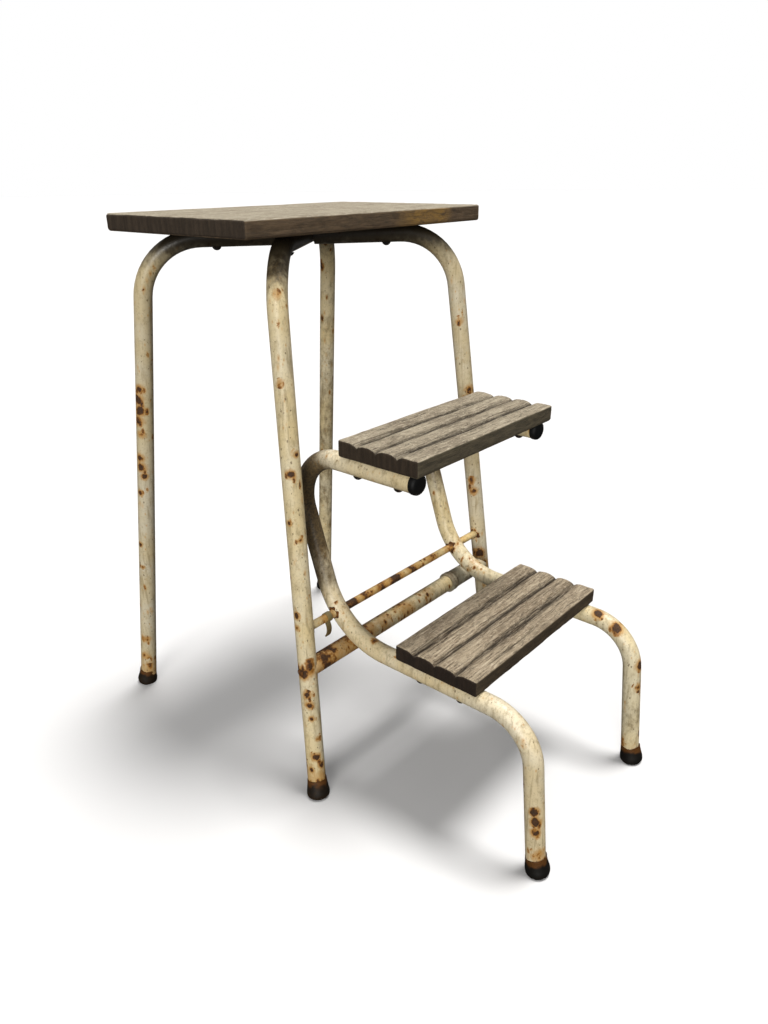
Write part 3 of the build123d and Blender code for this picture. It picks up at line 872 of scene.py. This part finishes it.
def leg_stains(side, front, spots=()):
    """Rust at a leg's foot, and at (height, facing, radius, strength) places up it."""
    stains = [(leg_at(side, front, 0.015), 0.060, 0.80), (leg_at(side, front, 0.022), 0.022, 1.1)]
    for height, facing, radius, strength in spots:
        stains.append((on_skin(leg_at(side, front, height), facing), radius, strength))
    if front:
        stains.append((leg_at(side, True, PIVOT.z) - Vector((side * TUBE_RADIUS, 0, 0)), 0.016, 1.0))
        stains.append((on_bar(side * CROSSBAR_HIGH.x), 0.028, 0.95))
    return stains


def by_pivot(side, y, z):
    """A point on a step tube, from where the rod passes through it."""
    return Vector((side * STEP_X, PIVOT.y + y, PIVOT.z + z))


rust = rust_material("rust")
paint = {
    "leg_hoop_over": paint_material(
        "paint_hoop_over",
        leg_stains(
            RIGHT, True,
            [
                (0.430, -25, 0.014, 1.05), (0.417, -35, 0.017, 1.10), (0.402, -50, 0.012, 1.00),
                (0.520, -50, 0.012, 0.85), (0.300, -70, 0.012, 1.05), (0.285, -60, 0.014, 1.05),
                (0.188, -55, 0.019, 1.10), (0.172, -30, 0.018, 1.00),
            ],
        )
        + leg_stains(
            LEFT, False,
            [
                (0.452, -75, 0.016, 1.05), (0.440, -85, 0.018, 1.10), (0.426, -70, 0.018, 1.10),
                (0.412, -80, 0.016, 1.05), (0.394, -60, 0.012, 0.95), (0.362, -75, 0.014, 1.05),
                (0.348, -65, 0.016, 1.08), (0.336, -45, 0.012, 1.10), (0.312, -75, 0.010, 1.00),
                (0.235, -80, 0.008, 1.05), (0.200, -70, 0.007, 1.05), (0.080, -40, 0.013, 0.95),
                (0.052, -60, 0.015, 0.95),
            ],
        ),
        tint=(204, 195, 172), under_seat_dirt_and_shade=True, offset=(1, 5, 2),
    ),
    "leg_hoop_under": paint_material(
        "paint_hoop_under",
        leg_stains(
            LEFT, True,
            [
                (0.606, -20, 0.012, 0.98), (0.590, -40, 0.013, 1.00), (0.500, -60, 0.010, 0.90),
                (0.425, 0, 0.009, 1.05), (0.404, -45, 0.012, 1.10), (0.350, -80, 0.008, 1.00),
                (0.330, -20, 0.007, 1.00), (0.240, -85, 0.011, 1.08), (0.225, -90, 0.010, 1.00),
                (0.168, -75, 0.018, 1.12), (0.142, -60, 0.012, 1.05), (0.128, -50, 0.012, 1.05),
                (0.110, -45, 0.009, 1.00), (0.082, -10, 0.009, 0.95), (0.058, -35, 0.013, 1.12),
                (0.046, 0, 0.012, 1.05), (0.040, -70, 0.010, 1.00),
            ],
        )
        + leg_stains(RIGHT, False),
        tint=(219, 207, 176), under_seat_dirt_and_shade=True, offset=(4, 2, 7),
        # the back-right leg is darker; the front-left leg's top under the seat is partly soiling, partly
        # painted shade
        dirt_and_shade=[(leg_at(RIGHT, False, 0.30), 0.42, 0.42), (leg_at(LEFT, True, 0.612), 0.04, 0.7)],
    ),
    "step_tube_left": paint_material(
        "paint_step_left",
        [
            (by_pivot(LEFT, 0, 0), 0.020, 1.0),
            (by_pivot(LEFT, 0.03, 0.075), 0.04, 0.4),
            (on_skin(by_pivot(LEFT, -0.278, -0.130), -60), 0.013, 1.17),
            (on_skin(by_pivot(LEFT, -0.279, -0.143), -55), 0.014, 1.22),
            (on_skin(by_pivot(LEFT, -0.281, -0.157), -60), 0.013, 1.12),
            (on_skin(by_pivot(LEFT, -0.283, -0.188), -35), 0.022, 0.83),
            (by_pivot(LEFT, -0.265, -0.10), 0.02, 0.6),
            (by_pivot(LEFT, -0.075, -0.045), 0.018, 1.0),
        ],
        tint=(217, 206, 180), offset=(7, 1, 3),
        # the C-bend is darkened: partly stain, partly painted shade under the upper tread
        dirt_and_shade=[
            (by_pivot(LEFT, 0.045, 0.155), 0.085, 1.35),
            (by_pivot(LEFT, 0.055, 0.095), 0.075, 1.3),
            (by_pivot(LEFT, 0.03, 0.045), 0.05, 0.8),
        ],
    ),
    "step_tube_right": paint_material(
        "paint_step_right",
        [
            (by_pivot(RIGHT, 0, 0), 0.020, 1.0),
            (by_pivot(RIGHT, -0.036, -0.02), 0.024, 0.7),
            (on_skin(by_pivot(RIGHT, -0.215, -0.022), -30), 0.017, 1.17),
            (on_skin(by_pivot(RIGHT, -0.240, -0.034), -30), 0.017, 1.22),
            (on_skin(by_pivot(RIGHT, -0.272, -0.075), 0), 0.017, 1.17),
            (on_skin(by_pivot(RIGHT, -0.277, -0.105), -20), 0.013, 0.99),
            (by_pivot(RIGHT, -0.284, -0.20), 0.03, 0.6),
        ],
        tint=(217, 206, 176), offset=(2, 8, 5),
        # the C-bend is darkened: partly stain, partly painted shade under the upper tread
        dirt_and_shade=[(by_pivot(RIGHT, 0.02, 0.13), 0.09, 0.85), (by_pivot(RIGHT, -0.284, -0.15), 0.05, 0.35)],
    ),
    "crossbar": paint_material(
        "paint_crossbar",
        [
            (on_bar(-0.150), 0.070, 1.02), (on_bar(-0.165), 0.026, 1.25), (on_bar(-0.115), 0.050, 0.92),
            (on_bar(-0.080), 0.034, 1.12), (on_bar(-0.048), 0.032, 0.95), (on_bar(-0.008), 0.036, 0.95),
            (on_bar(0.040), 0.030, 0.80), (on_bar(0.155), 0.024, 0.95),
        ],
        tint=(216, 203, 170), offset=(5, 5, 1),
    ),
    "pivot_rod": paint_material(
        "paint_rod",
        [
            (by_pivot(LEFT, 0, 0) + Vector((x, 0, 0)), radius, strength)
            for x, radius, strength in (
                (-0.022, 0.022, 1.05), (0.018, 0.032, 1.15), (0.045, 0.030, 0.98), (0.075, 0.028, 1.0),
                (0.100, 0.034, 1.15), (0.135, 0.030, 0.98), (0.175, 0.026, 0.95), (0.215, 0.024, 1.05),
            )
        ],
        rust=0.45, tint=(212, 192, 148), offset=(9, 3, 3),
    ),
    "rod_tab": paint_material(
        "paint_tab", [],
        rust=0.2, tint=(136, 124, 84), offset=(3, 3, 9),
        dirt_and_shade=[(by_pivot(LEFT, 0, -0.02), 0.06, 0.8)],
    ),
}
screws = screw_material("screw_black")
rubber = rubber_material("rubber_black", (12, 10, 7), (40, 28, 16), 0.3)
brown_rubber = rubber_material("rubber_brown", (24, 17, 9), (66, 44, 20), 0.55, (3, 0, 2))
cap_rubber = rubber_material("rubber_end_cap", (8, 8, 8), (22, 20, 17), 0.15, (1, 4, 4))
hose = hose_material("hose_dull", (176, 168, 144), (112, 98, 76), 0.45, (6, 1, 2))

kept_nodes = dict(paint)
kept_nodes.update({node: screws for node in ("seat_screws", "upper_tread_screws", "lower_tread_screws")})
kept_nodes["crossbar_tie_rod"] = rust
for node, material in kept_nodes.items():
    obj = frame["nodes"][node]
    obj.data.materials.clear()
    obj.data.materials.append(material)

# ---- the boards ----
seat_wood = wood_material(
    "wood_seat", (166, 157, 138), (150, 139, 120), (98, 84, 68), (94, 78, 60), (52, 43, 34),
    warm_spots=[(Vector((0.07, 0.004, 0.652)), 0.055), (Vector((0.11, 0.004, 0.65)), 0.03)], fibres=0.35,
)
for part, seam, seed in (("front", 1, 3), ("rear", -1, 8)):
    node = f"seat_plank_{part}"
    low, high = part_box(node)
    board = weathered_board(
        f"seat_board_{part}", node, cracks(34, low, high, 50 + seed),
        0.00045, seam=seam, seed=seed,
    )
    board.data.materials.append(seat_wood)

tread_wood = {
    "upper": wood_material(
        "wood_upper_tread", (166, 155, 134), (132, 120, 101), (78, 64, 49), (88, 80, 64), (46, 37, 28),
        offset=(3, 3, 1),
    ),
    "lower": wood_material(
        "wood_lower_tread", (164, 150, 127), (130, 114, 92), (70, 54, 40), (66, 55, 41), (34, 25, 18),
        offset=(8, 6, 2),
    ),
}
RIDGES = 4
for part, seed in (("upper", 21), ("lower", 37)):
    node = f"{part}_tread"
    low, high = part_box(node)
    pitch = (high.y - low.y) / RIDGES
    lines = [low.y + pitch * n for n in range(1, RIDGES)]
    board = weathered_board(
        f"{part}_tread_board", node, cracks(90, low, high, 60 + seed, lines=lines),
        0.0009, groove_lines=lines, groove_depth=0.0054, seed=seed,
    )
    board.data.materials.append(tread_wood[part])

# ---- rubber, hose and rust ----
caps = ("front_left", "front_right", "rear_left", "rear_right", "step_left", "step_right")
for number, where in enumerate(caps):
    brown = where in ("front_left", "rear_left")
    foot_cap(f"foot_cap_{where}", 5 + 4 * number, brown_rubber if brown else rubber)
for number, hand in enumerate(("left", "right")):
    end_cap(f"tube_end_cap_{hand}", 40 + number, cap_rubber)
sleeve("crossbar_sleeve", 52, hose)

COLLAR_HEIGHT = 0.0009
# The lean of the step tubes where the rod passes through, as (y, z).
step_lean = Vector((0.64, 0.77)).normalized()
for side, hand in ((LEFT, "left"), (RIGHT, "right")):
    for way, place in ((-1, "inner"), (1, "outer")):
        rust_collar(
            f"rust_collar_step_{hand}_{place}", tube_skin_x(step_lean, side * way),
            (side * STEP_X, PIVOT.y, PIVOT.z), 0.0051, 0.0076, COLLAR_HEIGHT, STEPS, rust, 3 * side + way,
        )
    leg = leg_at(side, True, PIVOT.z)
    _, direction = cap_axis(f"foot_cap_front_{hand}")
    rust_collar(
        f"rust_collar_leg_{hand}", tube_skin_x(Vector((direction.y, direction.z)).normalized(), -side),
        (leg.x, PIVOT.y, PIVOT.z), 0.00502, 0.0072, COLLAR_HEIGHT, STOOL, rust, 9 + side,
    )

# ---- floor, light and camera ----
def plain_material(name, tone, roughness):
    s = Shader(name)
    cloud = s.noise(1.5, detail=2)
    base = s.mix(s.ramp(cloud, 0.3, 0.7), tone, tuple(c - 1 for c in tone))
    return s.finish(base, roughness, specular=0.2)


def stage_mesh(name, verts, faces, material):
    mesh = bpy.data.meshes.new(name)
    mesh.from_pydata(verts, [], faces)
    mesh.materials.append(material)
    mesh.polygons.foreach_set("use_smooth", [True] * len(mesh.polygons))
    obj = bpy.data.objects.new(name, mesh)
    bpy.context.scene.collection.objects.link(obj)
    return obj


FLOOR_HALF = 30.0
# Just below the feet, so that the two never lie in one plane.
FLOOR_Z = -0.0003
floor = stage_mesh(
    "floor",
    [(x * FLOOR_HALF, y * FLOOR_HALF, FLOOR_Z) for x, y in ((-1, -1), (1, -1), (1, 1), (-1, 1))],
    [(0, 1, 2, 3)],
    plain_material("floor_white", (220, 220, 221), 0.9),
)
floor.visible_diffuse = False
floor.visible_glossy = False


def backdrop():
    """A pale wall far behind the object, all the way round, seen only by the camera."""
    s = Shader("backdrop_white")
    glow = s.tree.nodes.new("ShaderNodeEmission")
    glow.inputs["Color"].default_value = (1, 1, 1, 1)
    glow.inputs["Strength"].default_value = 1.0
    s.link(glow.outputs[0], s.output.inputs["Surface"])
    segments, radius, height = 64, FLOOR_HALF * 0.95, 20.0
    angles = [2 * math.pi * k / segments for k in range(segments)]
    ring = [(radius * math.cos(angle), radius * math.sin(angle)) for angle in angles]
    verts = [(x, y, 0) for x, y in ring] + [(x, y, height) for x, y in ring] + [(0, 0, height)]
    faces = [(k, (k + 1) % segments, segments + (k + 1) % segments, segments + k) for k in range(segments)]
    faces += [(segments + k, segments + (k + 1) % segments, 2 * segments) for k in range(segments)]
    wall = stage_mesh("backdrop", verts, faces, s.material)
    for rays in ("diffuse", "glossy", "transmission", "volume_scatter", "shadow"):
        setattr(wall, "visible_" + rays, False)


backdrop()


def sun(name, toward, strength, softness, tone):
    """A soft distant light that shines from the direction toward."""
    light = bpy.data.lights.new(name, "SUN")
    light.energy = strength
    light.angle = math.radians(softness)
    light.color = colour(tone)[:3]
    obj = bpy.data.objects.new(name, light)
    obj.rotation_euler = Vector(toward).to_track_quat("Z", "Y").to_euler()
    bpy.context.scene.collection.objects.link(obj)


sun("key", (0.20, -0.08, 1.0), 3.3, 18, (255, 253, 250))
sun("side_fill", (-0.86, -0.50, 0.24), 2.5, 30, (255, 253, 248))

world = bpy.data.worlds.new("studio")
world.use_nodes = True
sky = world.node_tree
place = sky.nodes.new("ShaderNodeTexCoord")
split = sky.nodes.new("ShaderNodeSeparateXYZ")
fade = sky.nodes.new("ShaderNodeMapRange")
fade.interpolation_type = "SMOOTHSTEP"
fade.inputs["From Min"].default_value = -0.5
fade.inputs["From Max"].default_value = 0.9
fade.inputs["To Min"].default_value = 0.05
fade.inputs["To Max"].default_value = 0.40
sky.links.new(place.outputs["Generated"], split.inputs[0])
sky.links.new(split.outputs["Z"], fade.inputs["Value"])
sky.links.new(fade.outputs["Result"], sky.nodes["Background"].inputs["Strength"])
sky.nodes["Background"].inputs["Color"].default_value = (1, 1, 1, 1)
bpy.context.scene.world = world
bpy.context.scene.view_settings.view_transform = "Standard"

# Where the camera stands, from the pivot in y, and how it is turned, in degrees.
CAMERA_X, CAMERA_FROM_PIVOT_Y, CAMERA_Z = -0.6933, -0.5771, 0.7002
CAMERA_YAW, CAMERA_PITCH, CAMERA_ROLL = 41.10, 23.37, -0.59
camera = bpy.data.cameras.new("camera")
camera.sensor_width = 36.0
camera.lens = 27.57
camera.shift_x = -0.0008
camera.shift_y = -0.0024
yaw, pitch, roll = (math.radians(turn) for turn in (CAMERA_YAW, CAMERA_PITCH, CAMERA_ROLL))
forward = Vector((math.cos(yaw) * math.cos(pitch), math.sin(yaw) * math.cos(pitch), -math.sin(pitch)))
level = Vector((math.sin(yaw), -math.cos(yaw), 0))
upward = level.cross(forward)
right = level * math.cos(roll) + upward * math.sin(roll)
top = upward * math.cos(roll) - level * math.sin(roll)
camera_object = bpy.data.objects.new("camera", camera)
camera_object.matrix_world = Matrix((right, top, -forward)).transposed().to_4x4()
camera_object.location = (CAMERA_X, PIVOT.y + CAMERA_FROM_PIVOT_Y, CAMERA_Z)
bpy.context.scene.collection.objects.link(camera_object)
bpy.context.scene.camera = camera_object
